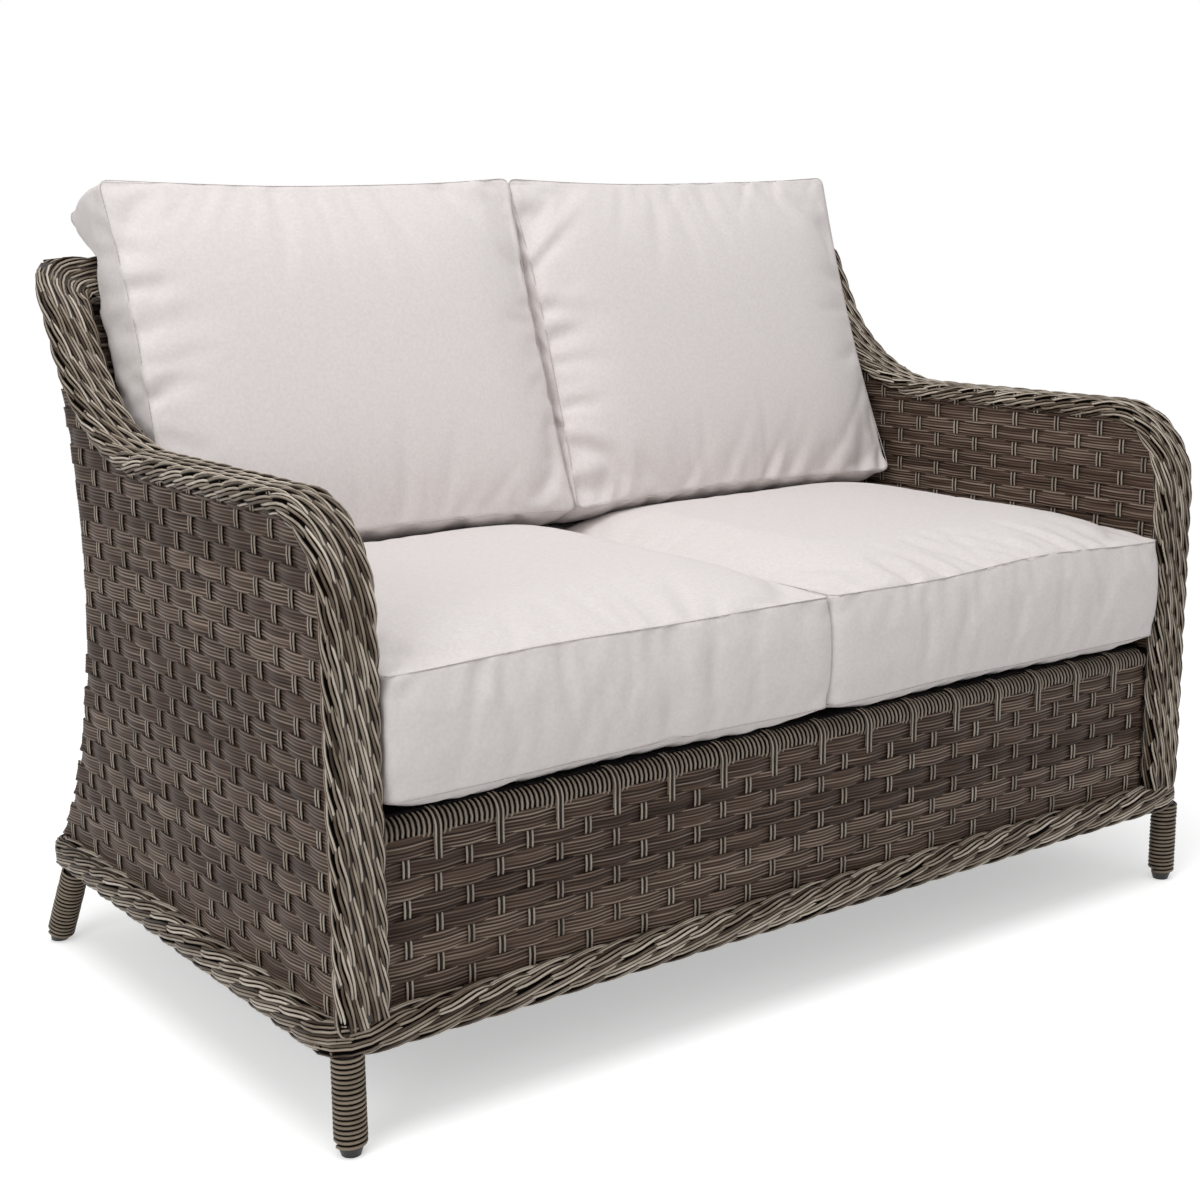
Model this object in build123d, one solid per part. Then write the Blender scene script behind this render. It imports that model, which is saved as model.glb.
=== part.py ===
from build123d import *
import os
from math import cos, pi, radians, sin, sqrt

# Wicker patio loveseat: a welded aluminium tube frame, woven panels, braided edges and four loose cushions.
# Millimetres. +X to the right seen from the front, +Y to the back, +Z up.
# The origin is on the floor under the middle of the base.

# Base ring: square rails with a braid worked round them
base_width = 1316.0
base_depth = 760.0
ring_bottom = 101.0
ring_wide = 44.0
ring_tall = 38.0
ring_edge = 8.0
ring_corner = 46.0
base_rail = 25.0
base_wall = 2.0

# Clearance between a woven cover and the tube inside it, and between two pieces that only rest together
fit = 0.3

# Woven panels: flat ribbons over round spokes
weave = 5.0

# Arm hoops: two bent square tubes side by side under one wide braid
arm_tube = 20.0
tube_wall = 1.5
braid_wide = 61.0
braid_thick = 27.0
braid_edge = 7.0
arm_setback = 4.5
arm_top = 650.0
nose_radius = 110.0
rise_radius = 221.0
rise_angle = 62.0
back_top = 862.0
back_corner = 35.0

# Back: a waisted curve, flared down to the rear of the base, and up to where the arm hoops end ahead of it
foot_inset = 12.0
waist_height = 500.0
flare_up = 645.0
flare_down = 580.0
hoop_lap = 3.9
stile = 16.0

# Seat deck
seat_rail = 25.0
seat_rail_height = 311.0
rail_cord = 3.5
side_rail_drop = 2.3
strap_wide = 50.0
strap_thick = 2.0
strap_hem = 18.0
strap_margin = 26.0
strap_pitch = 150.0
cross_straps = 4

# Apron between the front posts
apron_setback = 24.0
apron_lap = 5.0

# Legs with their cord windings and floor glides
leg_diameter = 25.0
leg_wall = 2.0
leg_opening_sides = 8
front_leg_inset = 29.0
front_leg_setback = 19.0
rear_leg_setback = 59.0
rear_splay_out = 16.0
rear_splay_back = 40.0
glide_tall = 8.0
glide_foot = 20.0
glide_plug = 14.0
glide_sides = 6
cord = 4.5
cord_pitch = 5.35
cord_turns = 16
cord_start = 12.5
cord_sides = 3
turn_steps = 3

# Cushions: boxed covers with a crowned top and a belly, seams drawn in between the corners.
# The back cushion's setback is measured forward from the waist of the back.
seat_setback = 10.0
seat_seam_low = 344.0
seat_boxing = 140.0
seat_crown = 20.0
seam_draw = 6.0
cushion_corner = 22.0
back_cushion_setback = 123.0
back_cushion_seam = 507.0
back_cushion_lean = 19.6
back_cushion_long = 465.0
back_boxing = 105.0
back_crown = 26.0
back_belly = 8.0
back_side_gap = 9.0

# One overrun for every cut
over = 400.0

front = -base_depth / 2
rear = base_depth / 2
side_face = base_width / 2 - ring_wide / 2
ring_top = ring_bottom + ring_tall
rail_bottom = ring_bottom + (ring_tall - base_rail) / 2
rail_top = rail_bottom + base_rail
arm_mid = side_face - weave - arm_tube
arm_inner = arm_mid - braid_wide / 2
post_mid = front + arm_setback + braid_thick / 2
braid_half = braid_thick / 2
tube_half = arm_tube / 2
brace_top = back_top - braid_wide
seat_rail_mid = post_mid + tube_half + seat_rail / 2
deck = seat_rail_height + seat_rail / 2 + rail_cord
cushion_floor = deck + strap_thick + fit
rise = radians(rise_angle)
slope = Vector(cos(rise), sin(rise))
outward = Vector(-sin(rise), cos(rise))


# How far the back's line has flared out from its waist at a height
def flare_out(radius, height):
    return radius - sqrt(radius ** 2 - (height - waist_height) ** 2)


# The back's foot stands on the rear rail. The arms' level run is as long as it takes for the raked hoops to lie
# just ahead of the back where its line leans as they do.
waist = rear - foot_inset - flare_out(flare_down, ring_top)
slope_long = (back_top - arm_top - rise_radius * (1 - cos(rise))) / sin(rise)
touch = waist + flare_up * (1 - sin(rise))
touch_above_centre = waist_height + flare_up * cos(rise) - arm_top - rise_radius
rise_centre = touch - hoop_lap - (rise_radius + braid_thick + touch_above_centre * cos(rise)) / sin(rise)
arm_level = rise_centre - (post_mid + nose_radius - braid_half)


# Outline of the arm hoop seen from the side, offset from its middle line: positive is the outer, upper side
def arm_line(shift, start, end_gap):
    nose = Vector(post_mid + nose_radius - braid_half, arm_top - nose_radius)
    nose_r = nose_radius - braid_half + shift
    turn = Vector(nose.X + arm_level, arm_top + rise_radius)
    turn_r = rise_radius + braid_half - shift
    foot = Vector(post_mid - shift, start)
    shoulder = Vector(post_mid - shift, nose.Y)
    crest = Vector(nose.X, nose.Y + nose_r)
    level = Vector(turn.X, crest.Y)
    leave = turn - outward * turn_r
    tip = leave + slope * (slope_long - end_gap)
    half_nose = nose + Vector(-nose_r, nose_r) * cos(pi / 4)
    half_turn = turn + Vector(sin(rise / 2), -cos(rise / 2)) * turn_r
    return [Line(foot, shoulder), ThreePointArc(shoulder, half_nose, crest), Line(crest, level),
            ThreePointArc(level, half_turn, leave), Line(leave, tip)]


# Closed side outline between two offsets of the arm hoop
def arm_band(outer, inner, start, end_gap):
    a = arm_line(outer, start, end_gap)
    b = arm_line(inner, start, end_gap)
    return make_face(a + b + [Line(a[0] @ 0, b[0] @ 0), Line(a[-1] @ 1, b[-1] @ 1)])


# Everything under and behind the arm hoop, seen from the side
def under_arm(shift, start):
    a = arm_line(shift, start, -over)
    tip = a[-1] @ 1
    far = Vector(tip.X + over, start)
    high = Vector(far.X, tip.Y)
    return make_face(a + [Line(tip, high), Line(high, far), Line(far, a[0] @ 0)])


# A block across the top of the back: distances down the slope from the end, and offsets from the middle line
def top_block(near, away, outer, inner):
    def spot(down, shift):
        return arm_line(shift, rail_top, down)[-1] @ 1
    corners = [spot(near, outer), spot(away, outer), spot(away, inner), spot(near, inner)]
    return make_face(Polyline(*corners, close=True))


# The waisted line of the back, offset to the rear, between two heights
def back_line(shift, low, high):
    up = Vector(waist + flare_up, waist_height)
    down = Vector(waist + flare_down, waist_height)

    def spot(centre, radius, height):
        rest = height - waist_height
        return Vector(centre.X - sqrt(radius ** 2 - rest ** 2), height)
    middle = Vector(waist + shift, waist_height)
    lower = ThreePointArc(spot(down, flare_down - shift, low),
                          spot(down, flare_down - shift, (low + waist_height) / 2), middle)
    upper = ThreePointArc(middle, spot(up, flare_up - shift, (high + waist_height) / 2),
                          spot(up, flare_up - shift, high))
    return [lower, upper]


def back_band(rear, ahead, low, high):
    a = back_line(rear, low, high)
    b = back_line(ahead, low, high)
    return make_face(a + b + [Line(a[0] @ 0, b[0] @ 0), Line(a[1] @ 1, b[1] @ 1)])


# Everything in front of the back, and everything behind it, seen from the side
def back_side(shift, low, high, far):
    a = back_line(shift, low, high)
    bottom = Vector(far, low)
    top = Vector(far, high)
    return make_face(a + [Line(a[1] @ 1, top), Line(top, bottom), Line(bottom, a[0] @ 0)])


# A side outline given its width along X
def across(face, low_x, high_x):
    return extrude(Plane.YZ.offset(low_x) * face, amount=high_x - low_x)


def block(low, high):
    size = Vector(*high) - Vector(*low)
    return Pos(*((Vector(*high) + Vector(*low)) / 2)) * Box(size.X, size.Y, size.Z)


def round_bar(length, radius, y, z):
    return Pos(0, y, z) * Rot(0, 90, 0) * Cylinder(radius, length)


def mirrored(solid):
    return mirror(solid, about=Plane.YZ)


os.makedirs("parts", exist_ok=True)


def save(name, *solids):
    whole = solids[0] if len(solids) == 1 else Compound(children=list(solids))
    export_step(whole, f"parts/{name}.step")


# Arm hoops: outer and inner tube of the right arm, from the base rail over the nose to the back's top corner
top_edge = (braid_wide - 2 * arm_tube) / 2


def arm_hoop(low_x, end_gap):
    shell = across(arm_band(tube_half, -tube_half, rail_top, end_gap), low_x, low_x + arm_tube)
    bore = tube_half - tube_wall
    hollow = arm_band(bore, -bore, rail_top - tube_wall, end_gap - tube_wall)
    return shell - across(hollow, low_x + tube_wall, low_x + arm_tube - tube_wall)


outer_hoop = arm_hoop(arm_mid, top_edge)
inner_hoop = arm_hoop(arm_mid - arm_tube, top_edge + arm_tube)

# Two rails across the top of the back, butted between the hoops
def top_rail(near, half):
    outside = top_block(near, near + arm_tube, tube_half, -tube_half)
    bore = tube_half - tube_wall
    inside = top_block(near + tube_wall, near + arm_tube - tube_wall, bore, -bore)
    return across(outside - inside, -half, half)


upper_rail = top_rail(top_edge, arm_mid)
lower_rail = top_rail(top_edge + arm_tube, arm_mid - arm_tube)

# Back uprights inside the rear edge of each side, and the middle stile, all curved to the waisted line
upright_rear = -(weave + fit)
upright_face = back_band(upright_rear, upright_rear - arm_tube, rail_top, brace_top)
upright_bore = back_band(upright_rear - tube_wall, upright_rear - arm_tube + tube_wall, rail_top, brace_top)
under_hoop = under_arm(-tube_half, rail_top)
upright = across(upright_face & under_hoop, arm_mid, arm_mid + arm_tube)
upright -= across(upright_bore & under_hoop, arm_mid + tube_wall,
                  arm_mid + arm_tube - tube_wall)

stile_face = back_band(upright_rear, upright_rear - stile, rail_top, back_top)
rail_zone = top_block(-over, top_edge + 2 * arm_tube, over, -over)
stile_bore = back_band(upright_rear - tube_wall, upright_rear - stile + tube_wall, rail_top, back_top)
middle_stile = across(stile_face - rail_zone, -stile / 2, stile / 2)
middle_stile -= across(stile_bore - rail_zone, tube_wall - stile / 2, stile / 2 - tube_wall)


# Base: four rails bent and mitred at the corners, and the braided ring over them, split at the same corners
def frame_side(solid, side):
    x, y = base_width / 2, base_depth / 2
    near_x, near_y = x - ring_corner, y - ring_corner
    corners = {"front": [(-x, -y), (x, -y), (near_x, -near_y), (-near_x, -near_y)],
               "rear": [(-x, y), (x, y), (near_x, near_y), (-near_x, near_y)],
               "right": [(x, -y), (x, y), (near_x, near_y), (near_x, -near_y)],
               "left": [(-x, -y), (-x, y), (-near_x, near_y), (-near_x, -near_y)]}[side]
    mitred = extrude(make_face(Polyline(*corners, close=True)), amount=ring_top + ring_tall)
    return solid & mitred


rail_x = base_width - ring_wide
rail_y = base_depth - ring_wide
rail_mid = (rail_bottom + rail_top) / 2


def square_loop(section):
    bend = ring_corner - ring_wide / 2
    plan = RectangleRounded(rail_x + section, rail_y + section, bend + section / 2)
    plan -= RectangleRounded(rail_x - section, rail_y - section, bend - section / 2)
    return Pos(0, 0, rail_mid - section / 2) * extrude(plan, amount=section)


base_loop = square_loop(base_rail) - square_loop(base_rail - 2 * base_wall)

ring_plan = RectangleRounded(base_width, base_depth, ring_corner)
ring_plan -= RectangleRounded(base_width - 2 * ring_wide, base_depth - 2 * ring_wide, ring_corner - ring_wide)
ring = Pos(0, 0, ring_bottom) * extrude(ring_plan, amount=ring_tall)
outline = [face.outer_wire().edges() for face in ring.faces().filter_by(Axis.Z)]
ring = chamfer(outline[0] + outline[1], ring_edge)
ring -= square_loop(base_rail + 2 * fit)


# Legs: built upright on their own axis, then leaned to their place
def leg_place(leg):
    x = side_face + rear_splay_out if leg == "rear" else base_width / 2 - front_leg_inset
    y = rear - rear_leg_setback + rear_splay_back if leg == "rear" else front + front_leg_setback
    if leg == "front":
        return Plane(origin=(x, y, 0))
    return Plane(origin=(x, y, 0), x_dir=(1, 0, 0), z_dir=(-rear_splay_out, -rear_splay_back, rail_bottom))


def leg_tube(leg):
    bore = leg_diameter / 2 - leg_wall
    tube = Cylinder(leg_diameter / 2, over, align=(Align.CENTER, Align.CENTER, Align.MIN))
    tube -= Cylinder(bore, over, align=(Align.CENTER, Align.CENTER, Align.MIN))
    tube = leg_place(leg) * Pos(0, 0, glide_tall) * tube
    return tube & block((0, front - over, 0), (base_width, base_depth, rail_bottom))


# The strands part round a leg in an eight-sided opening, with one of its flats towards the ring's corner
def leg_clearance(leg):
    half_flat = 180 / leg_opening_sides
    hole = RegularPolygon(leg_diameter / 2 + fit, leg_opening_sides, major_radius=False, rotation=half_flat)
    hole = leg_place(leg) * extrude(hole, amount=over, both=True)
    return hole & block((0, front, 0), (base_width, base_depth, rail_mid))


# Floor glide: a tapered foot under the tube, cut flat where it stands, with a plug of flats up the bore
def floor_glide(leg):
    rim = leg_diameter / 2
    foot = Cone(glide_foot - rim, rim, 2 * glide_tall)
    plug = extrude(RegularPolygon(rim - leg_wall - fit, glide_sides), amount=glide_plug)
    foot = leg_place(leg) * (foot + Pos(0, 0, glide_tall) * plug)
    return foot & block((0, front - over, 0), (base_width, base_depth, over))


# Cord winding on a front leg: one strand, a third of a turn at a time, each third made of two tangent arcs
winding_radius = leg_diameter / 2 + fit + cord / 2


def winding_point(turns):
    angle = 2 * pi * turns
    return Vector(winding_radius * cos(angle), winding_radius * sin(angle), cord_start + cord_pitch * turns)


def winding_heading(turns):
    angle = 2 * pi * turns
    run = 2 * pi * winding_radius
    return Vector(-run * sin(angle), run * cos(angle), cord_pitch).normalized()


def winding_path():
    first = winding_point(0) - winding_heading(0) * cord
    arcs = [Line(first, winding_point(0))]
    for step in range(turn_steps * cord_turns):
        begin, end = step / turn_steps, (step + 1) / turn_steps
        a, b = winding_point(begin), winding_point(end)
        s, t = winding_heading(begin), winding_heading(end)
        gap, both = b - a, s + t
        spare = 4 - both.dot(both)
        reach = (sqrt(gap.dot(both) ** 2 + spare * gap.dot(gap)) - gap.dot(both)) / spare
        joint = (a + s * reach + b - t * reach) / 2
        heading = (b - t * reach - a - s * reach).normalized()
        arcs += [TangentArc(a, joint, tangent=s), TangentArc(joint, b, tangent=heading)]
    last = winding_point(cord_turns)
    arcs.append(Line(last, last + winding_heading(cord_turns) * cord))
    return Wire(arcs)


def leg_winding():
    path = winding_path()
    start = Plane(origin=path @ 0, x_dir=(1, 0, 0), z_dir=path % 0)
    return sweep(start * RegularPolygon(cord / 2, cord_sides), path=path)


winding = leg_winding()


# The same winding on a rear leg, as a plain sleeve
def wound_sleeve():
    sleeve = Cylinder(winding_radius + cord / 2, cord_pitch * cord_turns + cord)
    sleeve -= Cylinder(leg_diameter / 2 + fit, over)
    return Pos(0, 0, cord_start + cord_pitch * cord_turns / 2) * sleeve


def winding_gap():
    steps = 24
    dots = [winding_point(n / steps) for n in range(steps * cord_turns)]
    return min((dots[n + m] - dots[n]).length for n in range(len(dots) - 2 * steps)
               for m in range(steps // 2, 2 * steps)) - cord


print(f"leg winding: {cord_turns} turns, least gap to itself {winding_gap():.2f} mm")

# Seat rails and the webbing on them
front_seat_rail = round_bar(2 * (side_face - weave), seat_rail / 2, seat_rail_mid, seat_rail_height)
front_seat_rail -= round_bar(base_width, seat_rail / 2 - tube_wall, seat_rail_mid, seat_rail_height)
rail_winding = round_bar(2 * (arm_inner - fit), seat_rail / 2 + rail_cord, seat_rail_mid, seat_rail_height)
rail_winding -= round_bar(base_width, seat_rail / 2 + fit, seat_rail_mid, seat_rail_height)
rail_winding -= block((-arm_tube / 2 - fit, seat_rail_mid, ring_top), (arm_tube / 2 + fit, waist, deck))

stile_front = waist - weave - fit - stile
deck_rear = (back_line(upright_rear - stile, deck, back_top)[0] @ 0).X
rear_rail_front = deck_rear - arm_tube
side_rail_top = deck - side_rail_drop


def hollow_bar(low, high, axis):
    thin = Vector(*[0 if axis == n else tube_wall for n in "XYZ"])
    return block(low, high) - block(tuple(Vector(*low) + thin), tuple(Vector(*high) - thin))


rear_seat_rail = hollow_bar((arm_tube - arm_mid, rear_rail_front, deck - arm_tube),
                            (arm_mid - arm_tube, deck_rear, deck), "X")
side_seat_rail = hollow_bar((arm_mid - arm_tube, seat_rail_mid + seat_rail / 2, side_rail_top - arm_tube),
                            (arm_mid, deck_rear + stile, side_rail_top), "Y")
centre_seat_rail = hollow_bar((-arm_tube / 2, seat_rail_mid + seat_rail / 2, side_rail_top - arm_tube),
                              (arm_tube / 2, rear_rail_front, side_rail_top), "Y")


# Webbing straps from front to back over the rails, and cross straps under them
def long_straps():
    count = int(2 * (arm_inner - strap_margin - strap_wide / 2) / strap_pitch) + 1
    first = -(count - 1) * strap_pitch / 2
    ends = (seat_rail_mid, deck_rear)
    for n in range(count):
        x = first + n * strap_pitch
        belt = block((x - strap_wide / 2, ends[0], deck), (x + strap_wide / 2, ends[1], deck + strap_thick))
        for inside in (seat_rail_mid + seat_rail / 2 + rail_cord, rear_rail_front - strap_thick):
            belt += block((x - strap_wide / 2, inside, deck - strap_hem),
                          (x + strap_wide / 2, inside + strap_thick, deck + strap_thick))
        yield belt


def cross_belts():
    low = seat_rail_mid + seat_rail / 2 + rail_cord + strap_thick
    span = rear_rail_front - strap_thick - low
    for n in range(cross_straps):
        y = low + span * (n + 1) / (cross_straps + 1)
        yield block((arm_tube / 2 - arm_mid, y - strap_wide / 2, side_rail_top),
                    (arm_mid - arm_tube / 2, y + strap_wide / 2, side_rail_top + strap_thick))


# Woven panels
panel_top = (arm_line(-braid_half, ring_top, 0)[-1] @ 1).Y


def outer_side_panel():
    face = under_arm(-braid_half - fit, ring_top) & back_side(-weave - fit, ring_top, panel_top, front - over)
    return across(face, side_face - weave, side_face)


inner_panel_low = cushion_floor + fit


def inner_side_panel():
    face = under_arm(-braid_half - fit, inner_panel_low)
    face &= back_side(-weave - fit, inner_panel_low, panel_top, front - over)
    return across(face, arm_mid - arm_tube - weave, arm_mid - arm_tube)


back_panel = across(back_band(0, -weave, ring_top, panel_top) & under_arm(-braid_half - fit, ring_top),
                    -side_face, side_face)

apron_front = front + apron_setback
apron = block((fit - arm_inner, apron_front, ring_top),
              (arm_inner - fit, apron_front + weave, seat_rail_height - seat_rail / 2 + apron_lap))
apron -= round_bar(base_width, seat_rail / 2 + rail_cord + fit, seat_rail_mid, seat_rail_height)

# Braids: the arm braid follows the hoop up to a rounded corner, the top braid runs across between them
tube_zone = tube_half + fit


def arm_braid():
    line = [Plane.YZ.offset(arm_mid) * edge for edge in arm_line(0, ring_top, 0)]
    path = Wire(line)
    start = Plane(origin=path @ 0, x_dir=(1, 0, 0), z_dir=(0, 0, 1))
    section = Rectangle(braid_wide, braid_thick)
    section = chamfer(section.vertices(), braid_edge)
    braid = sweep(start * section, path=path)
    tip = path @ 1
    centre = Vector(arm_mid + braid_wide / 2 - back_corner, tip.Y - slope.X * back_corner,
                    tip.Z - slope.Y * back_corner)
    corner = Plane(origin=centre, x_dir=(1, 0, 0), z_dir=(0, outward.X, outward.Y))
    square = Pos(back_corner / 2, back_corner / 2) * Rectangle(back_corner, back_corner)
    braid -= extrude(corner * (square - Circle(back_corner)), amount=braid_thick, both=True)
    bore = arm_band(tube_zone, -tube_zone, rail_top, top_edge - fit)
    braid -= across(bore, arm_mid - arm_tube - fit, arm_mid + arm_tube + fit)
    rails = top_block(top_edge - fit, top_edge + 2 * arm_tube + fit, tube_zone, -tube_zone)
    braid -= across(rails, 0, arm_mid)
    posts = back_band(upright_rear + fit, upright_rear - arm_tube - fit, rail_top, back_top)
    braid -= across(posts & under_arm(0, rail_top), arm_mid - fit, arm_mid + arm_tube + fit)
    return braid - round_bar(base_width, seat_rail / 2 + fit, seat_rail_mid, seat_rail_height)


def top_braid():
    outside = across(top_block(0, braid_wide, braid_half, -braid_half), -arm_inner, arm_inner)
    braid = chamfer(outside.edges().filter_by(Axis.X), braid_edge)
    braid -= across(top_block(top_edge - fit, top_edge + 2 * arm_tube + fit, tube_zone, -tube_zone),
                    -arm_inner, arm_inner)
    notch = back_band(upright_rear + fit, upright_rear - stile - fit, rail_top, back_top)
    return braid - across(notch, -stile / 2 - fit, stile / 2 + fit)


# Openings in the base ring for the posts, uprights, stile and legs that stand on or under its rails
def ring_openings():
    rear = back_band(upright_rear + fit, upright_rear - arm_tube - fit, rail_mid, back_top)
    centre = back_band(upright_rear + fit, upright_rear - stile - fit, rail_mid, back_top)
    right = [block((arm_mid - arm_tube - fit, post_mid - tube_zone, rail_mid),
                   (arm_mid + arm_tube + fit, post_mid + tube_zone, back_top)),
             across(rear, arm_mid - fit, arm_mid + arm_tube + fit),
             leg_clearance("front"), leg_clearance("rear")]
    left = [mirrored(opening) for opening in right]
    return right + left + [across(centre, -stile / 2 - fit, stile / 2 + fit)]


for opening in ring_openings():
    ring -= opening


# Boxed cushion lying flat: a slab with a crown and a belly, its outline drawn in between its corners
def cushion_outline(width, length):
    x, y = width / 2, length / 2
    arc = cushion_corner * (1 - cos(pi / 4))
    edges = []
    for sx, sy in ((1, 1), (-1, 1), (-1, -1), (1, -1)):
        start = (sx * x, sy * (y - cushion_corner))
        end = (sx * (x - cushion_corner), sy * y)
        edges.append(ThreePointArc(start, (sx * (x - arc), sy * (y - arc)), end))
    for s in (1, -1):
        edges.append(ThreePointArc((s * (x - cushion_corner), s * y), (0, s * (y - seam_draw)),
                                   (-s * (x - cushion_corner), s * y)))
        edges.append(ThreePointArc((s * x, s * (y - cushion_corner)), (s * (x - seam_draw), 0),
                                   (s * x, -s * (y - cushion_corner))))
    return make_face(edges)


# Places along a cushion, and the share of its crown that it has there
crown_shares = ((0, 0.06), (0.14, 0.62), (0.5, 1), (0.86, 0.62), (1, 0.06))


def boxed_cushion(width, length, boxing, crown, belly):
    half = width / 2
    ribs = []
    for along_share, crown_share in crown_shares:
        top = ThreePointArc((-half, boxing), (0, boxing + crown * crown_share), (half, boxing))
        low = ThreePointArc((half, 0), (0, -belly * crown_share), (-half, 0))
        rib = make_face([top, Line(top @ 1, low @ 0), low, Line(low @ 1, top @ 0)])
        ribs.append(Pos(0, (along_share - 1 / 2) * length, 0) * (Plane.XZ * rib))
    trim = extrude(cushion_outline(width, length), amount=over, both=True)
    return loft(ribs) & trim


seat_front = front + seat_setback
seat_rear = stile_front - fit
seat_wide = arm_inner - 2 * fit
seat_mid = (seat_front + seat_rear) / 2
seat_cushion = Pos(fit + seat_wide / 2, seat_mid, seat_seam_low) * boxed_cushion(
    seat_wide, seat_rear - seat_front, seat_boxing, seat_crown, seat_seam_low - cushion_floor)


# Room for a back cushion seen from the side: over the seat, ahead of the back and over the top braid
def back_cushion_room():
    rest = seat_seam_low + seat_boxing + seat_crown / 4
    high = back_top + fit
    ahead = (arm_line(braid_half + fit, rail_top, braid_wide)[-1] @ 1).X
    under = (arm_line(-braid_half, rail_top, braid_wide + fit)[-1] @ 1).Y
    lower = back_side(upright_rear - stile - fit, rest, under, front - over)
    upper = make_face(Polyline((front - over, under), (ahead, under), (ahead, high), (waist + over, high),
                               (waist + over, high + over), (front - over, high + over), close=True))
    return lower + upper


# Back cushion: the same boxed form leaned back, trimmed to its room and hollowed where it rests on the seat
def back_cushion():
    wide = arm_inner - back_side_gap - fit
    lean = radians(back_cushion_lean)
    base = Vector(0, waist - back_cushion_setback, back_cushion_seam)
    middle = base + Vector(0, sin(lean), cos(lean)) * back_cushion_long / 2
    place = Pos(fit + wide / 2, middle.Y, middle.Z) * Rot(90 - back_cushion_lean, 0, 0)
    full = boxed_cushion(wide, back_cushion_long, back_boxing, back_crown, back_belly)
    cushion = place * Pos(0, 0, -back_boxing) * full
    cushion &= across(back_cushion_room(), 0, base_width)
    return cushion - Pos(0, 0, fit) * seat_cushion


# Every piece in its own file, with the left-hand ones mirrored from the right
def pair(name, solid):
    save(f"{name}_right", solid)
    save(f"{name}_left", mirrored(solid))


pair("arm_hoop_outer", outer_hoop)
pair("arm_hoop_inner", inner_hoop)
pair("back_upright", upright)
save("back_top_rail", upper_rail)
save("back_lower_rail", lower_rail)
save("back_stile", middle_stile)
for side in ("front", "rear", "left", "right"):
    save(f"base_rail_{side}", frame_side(base_loop, side))
    save(f"base_braid_{side}", frame_side(ring, side))
for leg in ("front", "rear"):
    pair(f"leg_{leg}", leg_tube(leg))
glides = [floor_glide(leg) for leg in ("front", "rear")]
save("floor_glides", *glides, *[mirrored(solid) for solid in glides])
for leg, wound in (("front", winding), ("rear", wound_sleeve())):
    placed = leg_place(leg) * wound
    save(f"leg_winding_{leg}", placed, mirrored(placed))
save("seat_rail_front", front_seat_rail)
save("seat_rail_winding", rail_winding)
save("seat_rail_rear", rear_seat_rail)
pair("seat_rail_side", side_seat_rail)
save("seat_rail_centre", centre_seat_rail)
save("seat_straps", *long_straps())
save("seat_cross_straps", *cross_belts())
pair("side_weave_outer", outer_side_panel())
pair("side_weave_inner", inner_side_panel())
save("back_weave", back_panel)
save("front_weave", apron)
pair("arm_braid", arm_braid())
save("back_top_braid", top_braid())
pair("seat_cushion", seat_cushion)
pair("back_cushion", back_cushion())
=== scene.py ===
from math import cos, pi, radians, sin, sqrt, tanh

import bpy
import numpy as np
from mathutils import Matrix, Vector
from mathutils.bvhtree import BVHTree


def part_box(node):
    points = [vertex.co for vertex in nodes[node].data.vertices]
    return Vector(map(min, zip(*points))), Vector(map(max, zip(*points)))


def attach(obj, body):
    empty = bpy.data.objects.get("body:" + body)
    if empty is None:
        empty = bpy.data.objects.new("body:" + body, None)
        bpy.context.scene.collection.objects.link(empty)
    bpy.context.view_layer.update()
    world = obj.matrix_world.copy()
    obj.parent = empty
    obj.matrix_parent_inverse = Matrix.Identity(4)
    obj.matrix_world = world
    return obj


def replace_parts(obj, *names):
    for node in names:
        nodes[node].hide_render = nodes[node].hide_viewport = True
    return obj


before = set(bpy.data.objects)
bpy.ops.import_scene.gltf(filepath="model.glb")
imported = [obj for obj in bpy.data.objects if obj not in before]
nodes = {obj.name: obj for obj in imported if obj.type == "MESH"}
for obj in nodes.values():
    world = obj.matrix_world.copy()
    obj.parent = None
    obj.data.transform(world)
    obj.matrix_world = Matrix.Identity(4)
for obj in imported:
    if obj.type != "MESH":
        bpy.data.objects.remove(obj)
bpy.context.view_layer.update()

# Camera: it stands low in front of the left arm, about two and a half metres away.
camera_place = Vector((-1.436, -1.884, 0.914))
camera_turn = radians(36.28)
camera_dip = radians(11.92)
camera_roll = radians(-0.63)
ahead = Vector((sin(camera_turn) * cos(camera_dip), cos(camera_turn) * cos(camera_dip), -sin(camera_dip)))
level = Vector((cos(camera_turn), -sin(camera_turn), 0.0))
upward = level.cross(ahead)
to_right = level * cos(camera_roll) + upward * sin(camera_roll)
to_top = upward * cos(camera_roll) - level * sin(camera_roll)


def add_object(name, data):
    piece = bpy.data.objects.new(name, data)
    bpy.context.scene.collection.objects.link(piece)
    return piece


camera = add_object("camera", bpy.data.cameras.new("camera"))
camera.data.lens = 56.6
camera.data.sensor_width = 36.0
facing = Matrix((to_right, to_top, -ahead)).transposed().to_4x4()
camera.matrix_world = Matrix.Translation(camera_place) @ facing
bpy.context.scene.camera = camera

# Frame tubes: welded aluminium tube with a dark brown powder coat, nearly all of it under the weaving.
# The tubes are butted and welded, and the coat is slightly grained.
tube_nodes = ["back_top_rail", "back_lower_rail", "back_stile", "seat_rail_front", "seat_rail_rear",
              "seat_rail_centre"]
tube_nodes += [f"{piece}_{side}" for side in ("left", "right") for piece in (
    "arm_hoop_outer", "arm_hoop_inner", "back_upright", "seat_rail_side", "leg_front", "leg_rear")]
tube_nodes += [f"base_rail_{side}" for side in ("front", "rear", "left", "right")]


def linear(red, green, blue):
    """A shader colour from a colour as the eye sees it, 0 to 255."""
    parts = [c / 255 for c in (red, green, blue)]
    return tuple(c / 12.92 if c <= 0.04045 else ((c + 0.055) / 1.055) ** 2.4 for c in parts) + (1.0,)


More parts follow.
